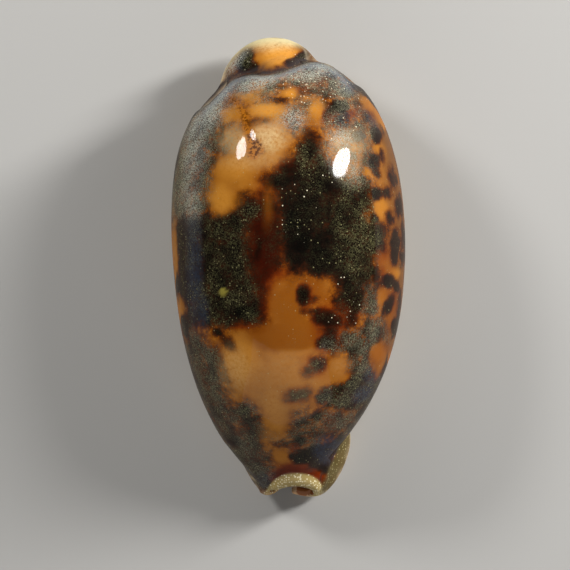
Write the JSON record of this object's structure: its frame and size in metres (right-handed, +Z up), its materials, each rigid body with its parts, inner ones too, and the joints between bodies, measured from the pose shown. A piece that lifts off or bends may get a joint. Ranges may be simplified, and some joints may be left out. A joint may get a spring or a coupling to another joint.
{
  "type": "cowrie shell",
  "caption": "Tortoise cowrie shell: a long glossy egg with a flattened base, a toothed slit down the base and a canal at each end.",
  "frame": {"origin": "on the surface the shell rests on, under the middle of its bounding box", "axes": "+Y along the shell to its spire end, +Z up out of its back, +X to the columellar side, so the outer lip is at -X"},
  "size_m": [0.0586, 0.1158, 0.0464],
  "materials": {
    "shell_enamel": "glossy"
  },
  "bodies": {
    "root": {"cowrie_shell": "shell_enamel"}
  },
  "joints": []
}
